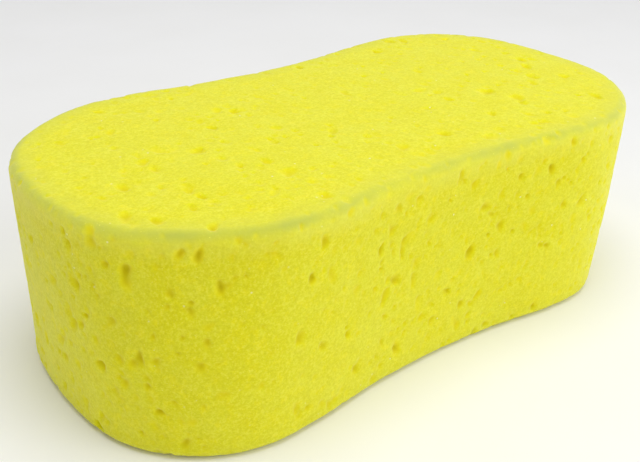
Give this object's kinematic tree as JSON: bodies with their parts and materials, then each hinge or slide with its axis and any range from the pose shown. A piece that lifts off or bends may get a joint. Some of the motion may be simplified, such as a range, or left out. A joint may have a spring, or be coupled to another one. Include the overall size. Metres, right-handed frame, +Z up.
{
  "type": "cleaning sponge",
  "caption": "Hourglass block of yellow open-cell foam with flat faces, upright walls and softly rounded edges, held at its waist for wiping and washing.",
  "frame": {"origin": "middle of the flat lower face, on the surface that the sponge stands on", "axes": "+X along the length, +Y across the width, +Z up, from the lower face to the top"},
  "size_m": [0.2, 0.105, 0.065],
  "materials": {
    "foam": "matte"
  },
  "bodies": {
    "root": {"sponge": "foam"}
  },
  "joints": []
}
